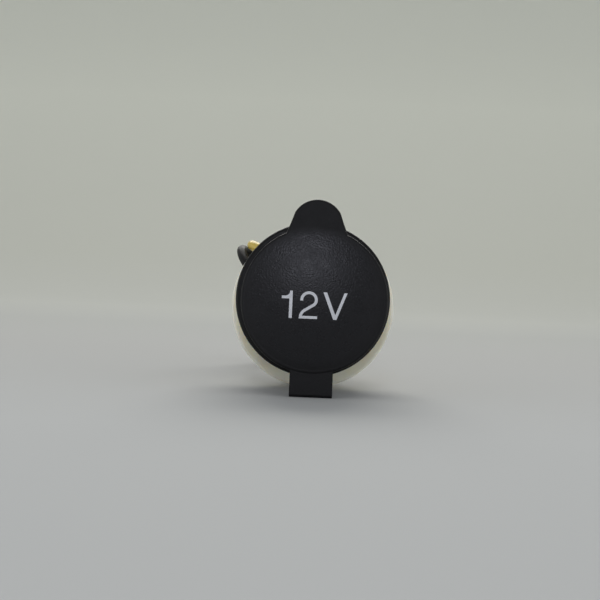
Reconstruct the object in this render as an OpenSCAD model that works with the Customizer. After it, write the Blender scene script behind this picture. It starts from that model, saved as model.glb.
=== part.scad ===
// Car power socket: a plug barrel in a threaded housing, with a hinged lid, a ring nut and two fly leads.
// All lengths are in millimetres. The socket's axis is Y and the lid faces -Y, with its thumb tab up (+Z).
// The origin is on the axis, in the plane that rests on the front of the panel.

/* [Barrel] */
// Inside diameter of the barrel, the standard size for a plug
bore_d = 21; // [18:0.5:24]
// Depth of the barrel from its lip to its floor
bore_depth = 39; // [35:0.5:48]
// Thickness of the drawn steel
barrel_t = 0.8; // [0.5:0.1:1.2]
// How far the lip stands out all round
lip_w = 1.2; // [0.8:0.1:2]
// How much narrower the barrel's end is drawn, to seat the insulating cup
barrel_step = 0.5; // [0.3:0.1:0.8]
// Width of the two windows that the housing latches into
window_w = 5.4; // [4:0.2:8]
// Length of the windows
window_len = 3.4; // [2.4:0.2:5]

/* [Housing] */
// Diameter of the bezel
bezel_d = 35.8; // [34.4:0.2:42]
// Thickness of the bezel
bezel_t = 2; // [1.4:0.1:3.5]
// Wall of the tube, up to the root of its thread
tube_wall = 2.35; // [1.6:0.05:3.5]
// Height of the thread over its root
thread_h = 0.7; // [0.4:0.05:0.8]
// Distance from one ridge of the thread to the next
thread_pitch = 2; // [1.5:0.1:3]
// How far the barrel stands out of the tube at the back
barrel_show = 4.3; // [2:0.1:8]
// Length of the latch tongues at the back of the tube
tongue_len = 9; // [7:0.5:14]
// Width of the slots beside each tongue
slot_w = 1; // [0.6:0.1:2]

/* [Ring nut] */
// Outside diameter of the nut's flange
nut_d = 39.8; // [37:0.2:48]
// Thickness of the flange
nut_flange_t = 2.2; // [1.5:0.1:4]
// Length of the nut
nut_len = 9; // [6:0.5:14]
// Wall of the nut behind its flange
nut_wall = 2.4; // [1.8:0.1:3]
// Number of grip ribs round the nut
nut_ribs = 16; // [6:1:24]
// Where the nut's front face stands on the thread
nut_y = 18; // [3:0.5:22]

/* [Lid] */
// Diameter of the lid
lid_d = 34; // [31:0.2:38]
// Thickness of the lid at its rim
lid_rim_t = 1.9; // [1.4:0.1:3]
// Rise of the dome over the rim
lid_crown = 1.3; // [0.5:0.1:3]
// Thickness of the lid in the middle
lid_wall = 2; // [1.4:0.1:2.6]
// Depth of the skirt that plugs the mouth
skirt_depth = 3.5; // [2:0.1:5]
// Thickness of the skirt
skirt_t = 1.3; // [0.8:0.1:2]
// Radius of the rounded front edges
lid_edge = 0.6; // [0.2:0.1:1]
// Radial play of the skirt in the mouth
lid_play = 0.8; // [0.5:0.1:1.2]
// How far the lid sits to the right on its loose strap
lid_right = 0.35; // [0:0.05:0.4]
// How far the lid sits low on its loose strap
lid_low = 0.45; // [0:0.05:0.5]

/* [Thumb tab] */
// Reach of the tab from the lid's middle
tab_reach = 23.45; // [21:0.05:28]
// Radius of the tab's tip
tab_r = 6.05; // [4:0.05:8]
// Angle by which the tab's flanks lean outwards
tab_flare = 19; // [10:1:24]
// Radius of the slightly hollow flanks
tab_flank_r = 60; // [40:1:90]
// Radius of the fillets between the flanks and the rim
tab_fillet_r = 1.25; // [0.8:0.05:2]

/* [Strap] */
// Width of the strap
strap_w = 9.9; // [7:0.1:12]
// Thickness of the strap in front of the fold
strap_t = 1.4; // [1.2:0.1:1.5]
// Distance of the fold below the axis
strap_drop = 22.7; // [21:0.1:28]
// Thickness of the web that runs back under the bezel
web_t = 1.1; // [0.8:0.1:1.6]
// Rise of the web's underside from the fold to the panel
web_rise = 0.45; // [0:0.05:0.6]
// Thickness of the collar between the bezel and the panel
collar_t = 1.2; // [0.8:0.1:2]
// Outside diameter of the collar
collar_d = 34.4; // [33:0.2:34.4]

/* [Contacts] */
// Thickness of the insulating cup on the barrel's floor
cup_t = 3; // [2.6:0.1:4]
// Diameter of the cup's recess
cup_recess_d = 12; // [11:0.2:12.4]
// Radius of the centre rivet's shank
rivet_r = 2; // [1.4:0.1:2.2]
// Radius of the centre contact's head
contact_r = 3.5; // [3:0.1:4]
// Thickness of the contact's washer
washer_t = 0.5; // [0.3:0.1:0.8]
// Thickness of the insulating plate behind the barrel
plate_t = 1.5; // [1:0.1:2.5]
// Thickness of the blade terminals
blade_t = 0.8; // [0.6:0.1:1]
// Width of the blade terminals
blade_w = 6.3; // [4.8:0.1:6.6]
// Length of the blade terminals behind the barrel
blade_len = 10.4; // [9:0.2:14]
// Distance of each blade from the axis
blade_x = 6.5; // [6.3:0.1:6.8]
// Distance of the ground rivet from the axis
ground_x = 8.2; // [8.1:0.05:8.3]

/* [Leads] */
// Outside diameter of each lead
lead_d = 2.8; // [2:0.1:3]
// Thickness of the soft boots
boot_t = 0.7; // [0.5:0.1:1]

/* [Plug] */
// Width of the lead plug across its two poles
plug_w = 12; // [11:0.2:16]
// Thickness of the plug
plug_t = 8; // [7.2:0.2:12]
// Length of the plug
plug_len = 19; // [16:0.5:26]
// Distance between the two poles
pole_pitch = 4; // [3.8:0.1:5]

/* [Hidden] */
$fn = 96;

// Clearances
fit = 0.15;             // radial play of moulded pieces that fit together
stack_gap = 0.1;        // play between pieces stacked along the axis
hinge_gap = 0.2;        // width of the thinned hinge line
cut = 1;                // overrun of cutting shapes

// Radii, from the bore outwards
bore_r = bore_d / 2;
barrel_r = bore_r + barrel_t;
lip_r = barrel_r + lip_w;
tube_in = barrel_r + fit;
end_r = barrel_r - barrel_step;
cup_r = end_r - barrel_t - 2 * fit;
root_r = tube_in + tube_wall;
crest_r = root_r + thread_h;
mouth_r = lip_r + fit;
skirt_r = mouth_r - lid_play;
bezel_r = bezel_d / 2;
collar_in = crest_r + fit;
collar_r = collar_d / 2;
nut_in = crest_r + fit;
nut_r = nut_d / 2;
nut_hub_r = nut_in + nut_wall;
lid_r = lid_d / 2;

// Stations along the axis, from the lid backwards
bezel_back = -collar_t - stack_gap;
bezel_front = bezel_back - bezel_t;
lid_back = bezel_front - stack_gap;
lid_front = lid_back - lid_rim_t;
crown_y = lid_front - lid_crown;
skirt_end = lid_back + skirt_depth;
lip_y = skirt_end + 4 * stack_gap;
lip_back = lip_y + barrel_t;
floor_y = lip_y + bore_depth;
barrel_end = floor_y + barrel_t;
tube_end = barrel_end - barrel_show;
cup_front = floor_y - cup_t;
step_y = cup_front - 0.3;
recess_y = floor_y - cup_t / 2;
washer_front = recess_y - washer_t;
plate_end = barrel_end + plate_t;
positive_end = plate_end + blade_t;
ground_end = barrel_end + blade_t;
blade_end = barrel_end + blade_len;
window_y = tube_end - tongue_len + 2.4;

// The hinge line
hinge_y = lid_back - hinge_gap;
strap_front = hinge_y - hinge_gap / 2 - strap_t;

// The thumb tab: its tip circle, the large circles that hollow its flanks and bite a little into the tip,
// and the small circles of the fillets, which bite a little into the flanks and the rim
tip_z = tab_reach - tab_r;
bite = 0.1;
flank = [(tab_r + tab_flank_r - bite) * cos(tab_flare), tip_z + (tab_r + tab_flank_r - bite) * sin(tab_flare)];
fillet_to_lid = lid_r + tab_fillet_r - bite;
fillet_to_flank = tab_flank_r - tab_fillet_r + bite;
fillet_along = (pow(fillet_to_lid, 2) - pow(fillet_to_flank, 2) + pow(norm(flank), 2)) / (2 * norm(flank));
fillet_across = sqrt(pow(fillet_to_lid, 2) - pow(fillet_along, 2));
fillet = (fillet_along * flank + fillet_across * [-flank[1], flank[0]]) / norm(flank);

// The lid's dome: its foot on the rim's front face, and the radius of its sphere
dome_foot = lid_r - lid_edge - 0.3;
dome_r = (pow(dome_foot, 2) + pow(lid_crown, 2)) / (2 * lid_crown);

// Small features
bezel_edge = 0.8;
mouth_bevel = 0.4;
thread_run_in = 1;      // plain neck behind the panel seat
shank_fit = 0.1;
boss_r = 4.8;
plate_r = 7.5;
plate_flat_x = blade_x - blade_t / 2 - 0.2;
contact_h = 0.8;
peened_h = 1;
peened_r = rivet_r + 1.2;
small_shank_r = 0.9;
small_head_r = 1.2;
small_head_h = 0.7;
detent_r = 0.8;
detent_in = 3;          // distance of the detent hole from the blade's tip
blade_bevel = 0.8;
tongue_w = window_w - 0.4;
bump_h = 0.75;

// Leads and their terminals
lead_r = lead_d / 2;
sheet = 0.6;
receptacle_y = positive_end + 0.6;
receptacle_end = blade_end + 0.2;
boot_y = receptacle_y - 0.4;
boot_end = 57;
crimp_r = lead_r + 0.3;

// The plug hangs from the ends of the leads
plug_x = -8;
plug_y = 92.5;
lead_stop_z = 10.7;
seal_lip = 1;
plug_top = lead_stop_z - seal_lip;
plug_bottom = plug_top - plug_len;
seal_r = 1.8;
seal_depth = 4;
contact_w = 2.4;

// Points of the two leads' centrelines, from the boots to the plug
yellow_route = [
    [6.5, 57, 0], [6.5, 59.6, 0], [6.1, 62.6, 1.1], [4.5, 65.4, 3.7], [1.9, 67.7, 6.9], [-1.6, 69.6, 10.1],
    [-5.5, 71.2, 13.2], [-9.5, 72.7, 16.1], [-13.2, 74.5, 18.7], [-16.1, 76.8, 20.7], [-18, 79.9, 21.9],
    [-18.4, 83.2, 22.3], [-17.3, 86.3, 21.9], [-15, 88.8, 21.2], [-12.2, 90.7, 20.3], [-9.4, 91.9, 18.7],
    [-7.3, 92.4, 16.5], [-6.3, 92.5, 14.2], [-6, 92.5, 12], [-6, 92.5, 10.7]];
black_route = [
    [-6.5, 57, 0], [-6.5, 59.6, 0], [-6.9, 62.5, 0.9], [-8.4, 65.3, 2.9], [-10.8, 67.9, 5.6],
    [-13.5, 70.2, 8.7], [-16.2, 72.5, 11.9], [-18.6, 75.1, 15], [-20.4, 78.2, 17.8], [-21.3, 81.7, 20.1],
    [-21.3, 85.4, 21.2], [-20.4, 88.6, 21.1], [-18.7, 90.9, 20.3], [-16.8, 92.2, 19.3], [-14.7, 92.8, 18],
    [-12.8, 92.8, 16.7], [-11.1, 92.6, 15.2], [-10.2, 92.5, 13.3], [-10, 92.5, 11.9], [-10, 92.5, 10.7]];

// Colours
moulded_black = "#232327";
housing_black = "#1d1d1f";
natural_nylon = "#d9d3ad";
plated_steel = "#b9bcc0";
brass = "#c8a45a";
fibre_brown = "#7a3b2a";
cup_white = "#e4e0d6";
lead_yellow_pvc = "#d8b21c";
lead_black_pvc = "#1a1a1a";
seal_orange = "#c9622a";

// A solid of revolution about the socket's axis, from a profile of radius and distance along the axis
module turned() {
    rotate([-90, 0, 0]) rotate_extrude() children();
}

// A round bar along the axis from y0 to y1, at x and z
module bar(r, y0, y1, x = 0, z = 0) {
    translate([x, y0, z]) rotate([-90, 0, 0]) cylinder(r = r, h = y1 - y0);
}

// A block between two corners
module block(low, high) {
    translate(low) cube(high - low);
}

// A rectangle between two corners
module square_from(x0, y0, x1, y1) {
    translate([x0, y0]) square([x1 - x0, y1 - y0]);
}

// A ring profile with a rounded outer front edge
module edged_profile(r, y0, y1, edge) {
    translate([0, y0 + edge]) square([r, y1 - y0 - edge]);
    translate([0, y0]) square([r - edge, y1 - y0]);
    translate([r - edge, y0 + edge]) circle(edge);
}

// A shallow dome, the cap of a large sphere, that rises from y to its crown
module dome(r, sphere_r, crown, y) {
    intersection() {
        translate([0, crown + sphere_r, 0]) sphere(sphere_r, $fn = 360);
        bar(r, crown - cut, y);
    }
}

// The lid's domed disc, hollow behind, with the skirt that plugs the mouth and the skirt's bevelled end
module lid_disc() {
    bevel = 0.5;
    difference() {
        union() {
            turned() union() {
                edged_profile(lid_r, lid_front, lid_back, lid_edge);
                polygon([[0, lid_back - stack_gap], [skirt_r, lid_back - stack_gap],
                         [skirt_r, skirt_end - bevel], [skirt_r - bevel, skirt_end], [0, skirt_end]]);
            }
            dome(dome_foot + stack_gap, dome_r, crown_y, lid_front + lid_edge);
        }
        bar(skirt_r - skirt_t, crown_y + lid_wall, skirt_end + cut);
    }
}

// A plate as thick as the lid's rim, from its outline seen from the front
module rim_plate(outline) {
    rotate([90, 0, 0]) translate([0, 0, -lid_back]) linear_extrude(lid_rim_t) polygon(outline);
}

// The thumb tab, flush with the lid's rim: a round tip, flanks that lean outwards, and fillets at their feet
module thumb_tab() {
    root_z = skirt_r + 1;
    root_x = sqrt(pow(lid_r - 1, 2) - pow(root_z, 2));
    shoulder_z = tip_z + tab_r * sin(tab_flare);
    in_flank = fillet + (fillet - flank) / fillet_to_flank * (tab_fillet_r + 1);
    in_rim = fillet * (lid_r - 1) / fillet_to_lid;
    difference() {
        union() {
            rim_plate([[-root_x, root_z], [root_x, root_z], [root_x, shoulder_z], [0, tip_z],
                       [-root_x, shoulder_z]]);
            translate([0, 0, tip_z]) turned() intersection() {
                edged_profile(tab_r, lid_front, lid_back, lid_edge);
                square_from(0, lid_front - cut, tab_r + cut, lid_back);
            }
        }
        for (side = [-1, 1])
            translate([side * flank[0], 0, flank[1]]) hollow(tab_flank_r, 360);
    }
    for (side = [0, 1])
        mirror([side, 0, 0]) difference() {
            rim_plate([fillet, in_flank, in_flank + in_rim - fillet, in_rim]);
            translate([fillet[0], 0, fillet[1]]) hollow(tab_fillet_r, 96);
        }
}

// What a round hollow of radius r takes from a rim plate, leaving the plate's front edge rounded
module hollow(r, facets) {
    rotate([-90, 0, 0]) rotate_extrude($fn = facets) difference() {
        square_from(0, lid_front - cut, r + lid_edge, lid_back + cut);
        square_from(r, lid_front + lid_edge, r + lid_edge + cut, lid_back + 2 * cut);
        translate([r + lid_edge, lid_front + lid_edge]) circle(lid_edge);
    }
}

// The strap in front of the fold, from the lid down to the hinge line
module strap_front_leg() {
    top = -lid_low - sqrt(pow(lid_r - 1, 2) - pow(strap_w / 2, 2));
    translate([lid_right - strap_w / 2, 0, 0]) rotate([90, 0, 90]) linear_extrude(strap_w) difference() {
        square_from(strap_front, -strap_drop, strap_front + strap_t, top);
        difference() {
            square_from(strap_front - cut, -strap_drop - cut, strap_front + lid_edge, -strap_drop + lid_edge);
            translate([strap_front + lid_edge, -strap_drop + lid_edge]) circle(lid_edge);
        }
    }
}

module cap() {
    color(moulded_black) union() {
        translate([lid_right, 0, -lid_low]) {
            lid_disc();
            thumb_tab();
        }
        strap_front_leg();
    }
}

// The strap behind the fold: a web under the bezel, and a collar clamped between bezel and panel
module strap_collar() {
    web_front = hinge_y + hinge_gap / 2;
    tongue_top = -sqrt(pow(collar_r - cut, 2) - pow(strap_w / 2, 2));
    left = lid_right - strap_w / 2;
    right = lid_right + strap_w / 2;
    color(moulded_black) difference() {
        union() {
            bar(collar_r, -collar_t, 0);
            block([left, -collar_t, -strap_drop + (web_rise + web_t) / 2], [right, 0, tongue_top]);
            translate([left, 0, 0]) rotate([90, 0, 90]) linear_extrude(strap_w)
                polygon([[web_front, -strap_drop], [0, -strap_drop + web_rise],
                         [0, -strap_drop + web_t], [web_front, -strap_drop + web_t]]);
        }
        bar(collar_in, -collar_t - cut, cut);
    }
}

// The two tongues at the back of the tube carry bumps that hold the barrel by its windows
module latch_slots() {
    for (side = [-1, 1], edge = [-1, 1])
        translate([edge * (tongue_w + slot_w) / 2 - slot_w / 2,
                   tube_end - tongue_len,
                   side > 0 ? 0 : -root_r - cut])
            cube([slot_w, tongue_len + cut, root_r + cut]);
}

module latch_bumps() {
    inner = tube_in - bump_h;
    intersection() {
        difference() {
            bar(tube_in + tube_wall / 2, window_y + 0.2, window_y + window_len - 0.2);
            bar(inner, window_y - cut, window_y + window_len + cut);
        }
        block([-tongue_w / 2, window_y - cut, -root_r], [tongue_w / 2, window_y + window_len + cut, root_r]);
    }
}

// One ridge of the thread, as a profile about its place along the axis. The ridges are drawn as rings.
module thread_ridge(y) {
    foot = thread_h * 0.6;
    crest = 0.22;
    polygon([[root_r - bite, y - foot], [crest_r, y - crest], [crest_r, y + crest], [root_r - bite, y + foot]]);
}

module bezel_housing() {
    end_bevel = 0.8;
    first_ridge = thread_run_in + thread_h + thread_pitch * 0.7;
    color(housing_black) union() {
        difference() {
            turned() difference() {
                union() {
                    edged_profile(bezel_r, bezel_front, bezel_back, bezel_edge);
                    square_from(0, bezel_front + cut, crest_r, thread_run_in);
                    polygon([[0, 0], [crest_r, thread_run_in], [root_r, thread_run_in + thread_h],
                             [root_r, tube_end - end_bevel], [root_r - end_bevel, tube_end], [0, tube_end]]);
                    for (y = [first_ridge : thread_pitch : tube_end - end_bevel - thread_h])
                        thread_ridge(y);
                }
                square_from(-cut, bezel_front - cut, mouth_r, lip_back);
                polygon([[mouth_r - cut, bezel_front - cut], [mouth_r + mouth_bevel + cut, bezel_front - cut],
                         [mouth_r - cut, bezel_front + mouth_bevel + cut]]);
                square_from(-cut, bezel_front - cut, tube_in, tube_end + cut);
            }
            latch_slots();
        }
        latch_bumps();
    }
}

// The ring nut that clamps the panel from behind, with grip ribs round its hub
module ring_nut() {
    rib_w = 2;
    rib_h = 0.9;
    bevel = 0.6;
    color(natural_nylon) difference() {
        union() {
            turned() union() {
                edged_profile(nut_r, nut_y, nut_y + nut_flange_t, bevel);
                square_from(0, nut_y, nut_hub_r, nut_y + nut_len);
            }
            for (i = [0 : nut_ribs - 1])
                rotate([0, i * 360 / nut_ribs, 0])
                    block([nut_hub_r - cut, nut_y + nut_flange_t - cut, -rib_w / 2],
                          [nut_hub_r + rib_h, nut_y + nut_len, rib_w / 2]);
        }
        bar(nut_in, nut_y - cut, nut_y + nut_len + cut);
        turned() polygon([[0, nut_y - cut], [nut_in + bevel + cut, nut_y - cut],
                          [nut_in - cut, nut_y + bevel + cut], [0, nut_y + bevel + cut]]);
    }
}

// The outline of the barrel, inside or outside its wall: a straight part, a narrower end and a round corner
module barrel_outline(r, narrow_r, y0, step, y1, corner) {
    square_from(0, y0, r, step);
    square_from(0, y0, narrow_r, y1 - corner);
    square_from(0, y0, narrow_r - corner, y1);
    translate([narrow_r - corner, y1 - corner]) circle(corner);
}

// The drawn steel barrel, with a flat lip, a stepped end, a floor and two windows
module barrel() {
    corner = 1.2;
    lip_edge = 0.35;
    color(plated_steel) difference() {
        turned() difference() {
            union() {
                edged_profile(lip_r, lip_y, lip_back, lip_edge);
                barrel_outline(barrel_r, end_r, lip_y, step_y + barrel_t, barrel_end, corner);
            }
            barrel_outline(bore_r, end_r - barrel_t, lip_y - cut, step_y, floor_y, corner - barrel_t);
            polygon([[0, lip_y - cut], [bore_r + lip_edge + cut, lip_y - cut],
                     [bore_r - cut, lip_y + lip_edge + cut]]);
            square_from(-cut, lip_y - cut, 0, barrel_end + cut);
        }
        bar(boss_r + fit, floor_y - cut, barrel_end + cut);
        bar(small_shank_r + shank_fit, floor_y - cut, barrel_end + cut, -ground_x);
        block([-window_w / 2, window_y, -barrel_r - cut],
              [window_w / 2, window_y + window_len, barrel_r + cut]);
    }
}

// The insulating cup on the barrel's floor, with a recess for the contact and a pocket for the ground rivet
module base_insulator() {
    pocket_r = small_head_r + 0.5;
    bevel = 0.5;
    color(cup_white) difference() {
        turned() difference() {
            union() {
                polygon([[0, cup_front], [cup_r, cup_front], [cup_r, floor_y - bevel],
                         [cup_r - bevel, floor_y], [0, floor_y]]);
                square_from(0, cup_front, boss_r, barrel_end);
            }
            square_from(-cut, cup_front - cut, cup_recess_d / 2, recess_y);
            square_from(-cut, cup_front - cut, rivet_r + shank_fit, barrel_end + cut);
        }
        bar(pocket_r, floor_y - small_head_h - 2 * fit, floor_y + cut, -ground_x);
    }
}

module contact_washer() {
    washer_r = cup_recess_d / 2 - 0.8;
    color(plated_steel) difference() {
        bar(washer_r, washer_front, recess_y);
        bar(rivet_r + shank_fit, washer_front - cut, recess_y + cut);
    }
}

// The centre contact: a domed rivet head in front, a shank through the floor and a peened end behind
module centre_contact() {
    rim = 0.1;
    head_dome = (pow(contact_r, 2) + pow(contact_h - rim, 2)) / (2 * (contact_h - rim));
    color(brass) union() {
        dome(contact_r, head_dome, washer_front - contact_h, washer_front);
        bar(rivet_r, washer_front - contact_h / 2, positive_end + peened_h / 2);
        intersection() {
            translate([0, positive_end + peened_h - head_dome, 0]) sphere(head_dome);
            bar(peened_r, positive_end, positive_end + peened_h + cut);
        }
    }
}

// The insulating plate behind the barrel, with a flat beside the ground blade
module rear_insulator() {
    color(fibre_brown) difference() {
        bar(plate_r, barrel_end, plate_end);
        bar(rivet_r + shank_fit, barrel_end - cut, plate_end + cut);
        block([-plate_r - cut, barrel_end - cut, -plate_r - cut],
              [-plate_flat_x, plate_end + cut, plate_r + cut]);
    }
}

// The standing part of a blade, with a bevelled tip and a detent hole
module blade(y0, x) {
    difference() {
        translate([x - blade_t / 2, 0, 0]) rotate([90, 0, 90]) linear_extrude(blade_t)
            polygon([[y0, -blade_w / 2], [blade_end - blade_bevel, -blade_w / 2],
                     [blade_end, -blade_w / 2 + blade_bevel], [blade_end, blade_w / 2 - blade_bevel],
                     [blade_end - blade_bevel, blade_w / 2], [y0, blade_w / 2]]);
        translate([x - blade_t, blade_end - detent_in, 0]) rotate([0, 90, 0])
            cylinder(r = detent_r, h = 2 * blade_t);
    }
}

module positive_blade() {
    foot_r = 4;
    color(brass) difference() {
        union() {
            blade(plate_end, blade_x);
            bar(foot_r, plate_end, positive_end);
            block([0, plate_end, -blade_w / 2], [blade_x, positive_end, blade_w / 2]);
        }
        bar(rivet_r + shank_fit, plate_end - cut, positive_end + cut);
    }
}

module ground_blade() {
    foot_end = ground_x + small_head_r;
    color(brass) difference() {
        union() {
            blade(barrel_end, -blade_x);
            block([-foot_end, barrel_end, -blade_w / 2], [-blade_x, ground_end, blade_w / 2]);
        }
        bar(small_shank_r + shank_fit, barrel_end - cut, ground_end + cut, -ground_x);
    }
}

module ground_rivet() {
    color(plated_steel) {
        bar(small_head_r, floor_y - small_head_h, floor_y, -ground_x);
        bar(small_shank_r, floor_y - small_head_h, ground_end + small_head_h, -ground_x);
        bar(small_head_r, ground_end, ground_end + small_head_h, -ground_x);
    }
}

// A female receptacle: a box of folded brass round the blade, and a round crimp behind it
module receptacle(x) {
    play = 0.1;
    seam = 0.8;
    half_t = blade_t / 2 + play + sheet;
    half_w = blade_w / 2 + play + sheet;
    color(brass) difference() {
        union() {
            block([x - half_t, receptacle_y, -half_w], [x + half_t, receptacle_end + sheet, half_w]);
            bar(crimp_r, receptacle_end, boot_end - 1, x);
        }
        block([x - half_t + sheet, receptacle_y - cut, -half_w + sheet],
              [x + half_t - sheet, receptacle_end, half_w - sheet]);
        block([x - half_t - cut, receptacle_y - cut, -seam / 2],
              [x - half_t + sheet + cut / 4, receptacle_end - cut, seam / 2]);
    }
}

module positive_receptacle() {
    receptacle(blade_x);
}

module ground_receptacle() {
    receptacle(-blade_x);
}

// The outline of a boot: a rectangle with round ends
module boot_outline(half_t, half_w) {
    for (side = [-1, 1])
        translate([0, side * (half_w - half_t)]) circle(half_t);
    square([2 * half_t, 2 * (half_w - half_t)], center = true);
}

// A soft boot over a receptacle, with a round neck that the lead leaves
module boot(x) {
    play = 0.3;
    half_t = blade_t / 2 + sheet + 1.4;
    half_w = blade_w / 2 + sheet + boot_t + 2 * play;
    neck_r = crimp_r + boot_t;
    shoulder = receptacle_end + sheet + play;
    difference() {
        union() {
            translate([x, shoulder + boot_t, 0]) rotate([90, 0, 0])
                linear_extrude(shoulder + boot_t - boot_y) boot_outline(half_t, half_w);
            bar(neck_r, shoulder, boot_end, x);
        }
        translate([x, shoulder, 0]) rotate([90, 0, 0])
            linear_extrude(shoulder - boot_y + cut) boot_outline(half_t - boot_t, half_w - boot_t);
        bar(crimp_r + fit, shoulder - cut, boot_end - 0.8, x);
    }
}

module positive_boot() {
    color(lead_yellow_pvc) boot(blade_x);
}

module ground_boot() {
    color(lead_black_pvc) boot(-blade_x);
}

// A round lead swept along its centreline
function unit(v) = v / norm(v);
function heading(p, i) = i == 0 ? unit(p[1] - p[0])
    : i == len(p) - 1 ? unit(p[i] - p[i - 1])
    : unit(unit(p[i] - p[i - 1]) + unit(p[i + 1] - p[i]));
function side_of(p, i) = unit(cross(heading(p, i), [1, 0.2, 0]));
function ring_point(p, i, r, a) =
    p[i] + r * (cos(a) * side_of(p, i) + sin(a) * cross(heading(p, i), side_of(p, i)));

module swept(p, r, sides = 8) {
    n = len(p);
    points = [for (i = [0 : n - 1], k = [0 : sides - 1]) ring_point(p, i, r, k * 360 / sides)];
    walls = [for (i = [0 : n - 2], k = [0 : sides - 1], half = [0, 1])
        let (a = i * sides + k, b = i * sides + (k + 1) % sides)
        half == 0 ? [a, b, b + sides] : [a, b + sides, a + sides]];
    first = [[for (k = [sides - 1 : -1 : 0]) k]];
    last = [[for (k = [0 : sides - 1]) (n - 1) * sides + k]];
    polyhedron(points, concat(walls, first, last));
}

module lead_yellow() {
    color(lead_yellow_pvc) swept(yellow_route, lead_r);
}

module lead_black() {
    color(lead_black_pvc) swept(black_route, lead_r);
}

// Places its children at each of the plug's two poles
module at_poles() {
    for (side = [-1, 1])
        translate([plug_x + side * pole_pitch / 2, plug_y, 0]) children();
}

// The plug's housing: a block with a narrower nose, a cavity for each pole and ribs on its sides
module plug_housing() {
    nose_len = 8;
    step = 0.7;
    cavity = contact_w + 0.4;
    color(lead_black_pvc) difference() {
        union() {
            block([plug_x - plug_w / 2, plug_y - plug_t / 2, plug_bottom + nose_len],
                  [plug_x + plug_w / 2, plug_y + plug_t / 2, plug_top]);
            block([plug_x - plug_w / 2 + step, plug_y - plug_t / 2 + step, plug_bottom],
                  [plug_x + plug_w / 2 - step, plug_y + plug_t / 2 - step, plug_bottom + nose_len]);
            for (side = [-1, 1])
                block([plug_x + side * plug_w / 2 - 0.5, plug_y - 1, plug_bottom + nose_len + 1],
                      [plug_x + side * plug_w / 2 + 0.5, plug_y + 1, plug_top - 2]);
        }
        at_poles() {
            translate([0, 0, plug_top - seal_depth]) cylinder(r = seal_r + 0.05, h = seal_depth + cut);
            translate([-cavity / 2, -cavity / 2, plug_bottom - cut])
                cube([cavity, cavity, plug_len - seal_depth + 2 * cut]);
        }
    }
}

// The plug's latch: a sprung lever over its back face, with a hooked end
module plug_latch() {
    lever_w = 5;
    lever_t = 1;
    stand = 0.9;
    back = plug_y + plug_t / 2;
    tip = plug_bottom + plug_t / 4;
    root = plug_top - plug_t;
    root_t = 1.5;
    color(lead_black_pvc) translate([plug_x - lever_w / 2, 0, 0]) rotate([90, 0, 90]) linear_extrude(lever_w)
        polygon([[back + stand, tip], [back + stand - 0.7, tip + 2], [back + stand, tip + 2],
                 [back + stand, root], [back, root], [back, root + root_t],
                 [back + stand, root + root_t], [back + stand, plug_top - 1],
                 [back + stand + lever_t, plug_top - 1], [back + stand + lever_t, tip]]);
}

module plug_seals() {
    rib_r = seal_r + 0.5;
    color(seal_orange) at_poles() {
        translate([0, 0, plug_top - seal_depth]) cylinder(r = seal_r, h = seal_depth + seal_lip - 0.2);
        translate([0, 0, plug_top]) cylinder(r = rib_r - 0.6, h = seal_lip);
    }
}

module plug_contacts() {
    wall = 0.35;
    depth = 5;
    color(brass) at_poles() difference() {
        translate([-contact_w / 2, -contact_w / 2, plug_bottom + 1])
            cube([contact_w, contact_w, plug_len - seal_depth - 2]);
        translate([wall - contact_w / 2, wall - contact_w / 2, plug_bottom])
            cube([contact_w - 2 * wall, contact_w - 2 * wall, depth]);
    }
}

cap();
strap_collar();
bezel_housing();
ring_nut();
barrel();
base_insulator();
contact_washer();
centre_contact();
rear_insulator();
positive_blade();
ground_blade();
ground_rivet();
positive_receptacle();
ground_receptacle();
positive_boot();
ground_boot();
lead_yellow();
lead_black();
plug_housing();
plug_latch();
plug_seals();
plug_contacts();
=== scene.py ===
"""A car power socket, dressed as it was photographed: on a pale sheet, its lid towards the camera.

Everything is in metres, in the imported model's frame. The socket's axis is Y, the lid faces -Y, its
thumb tab points to +Z, and the origin is on the axis, in the plane that rests on a panel's front.
"""

import logging
import math
from dataclasses import dataclass
from enum import Enum

import bmesh
import bpy
from mathutils import Matrix, Vector

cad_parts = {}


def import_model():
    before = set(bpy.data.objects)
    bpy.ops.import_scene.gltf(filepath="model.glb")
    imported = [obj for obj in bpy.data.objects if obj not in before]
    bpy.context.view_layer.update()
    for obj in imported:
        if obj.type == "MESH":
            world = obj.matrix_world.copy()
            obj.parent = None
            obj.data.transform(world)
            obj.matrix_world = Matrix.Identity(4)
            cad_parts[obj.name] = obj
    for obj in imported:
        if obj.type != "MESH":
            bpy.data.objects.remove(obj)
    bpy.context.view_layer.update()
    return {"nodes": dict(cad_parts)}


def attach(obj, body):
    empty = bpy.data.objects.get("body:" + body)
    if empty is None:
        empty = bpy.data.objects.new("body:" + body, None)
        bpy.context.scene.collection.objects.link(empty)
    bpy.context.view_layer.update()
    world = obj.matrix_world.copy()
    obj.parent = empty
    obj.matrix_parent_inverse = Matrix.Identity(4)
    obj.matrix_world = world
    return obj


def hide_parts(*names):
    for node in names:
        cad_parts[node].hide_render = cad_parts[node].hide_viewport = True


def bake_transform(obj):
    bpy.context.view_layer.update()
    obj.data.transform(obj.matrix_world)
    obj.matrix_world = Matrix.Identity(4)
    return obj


log = logging.getLogger("socket")

MM = 0.001
# Points nearer to each other than this are one point.
MERGE = 0.001 * MM
# Most values of a noise lie in this range.
NOISE_RANGE = (0.3, 0.7)


class Body(Enum):
    """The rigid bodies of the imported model."""

    SOCKET = "socket"
    LID = "lid"


class Slot(Enum):
    """The material slots of the record that new pieces take their finish from."""

    MOULDED_BLACK = "moulded_black"
    HOUSING_BLACK = "housing_black"
    YELLOW_PVC = "lead_yellow_pvc"
    BLACK_PVC = "lead_black_pvc"


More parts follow.
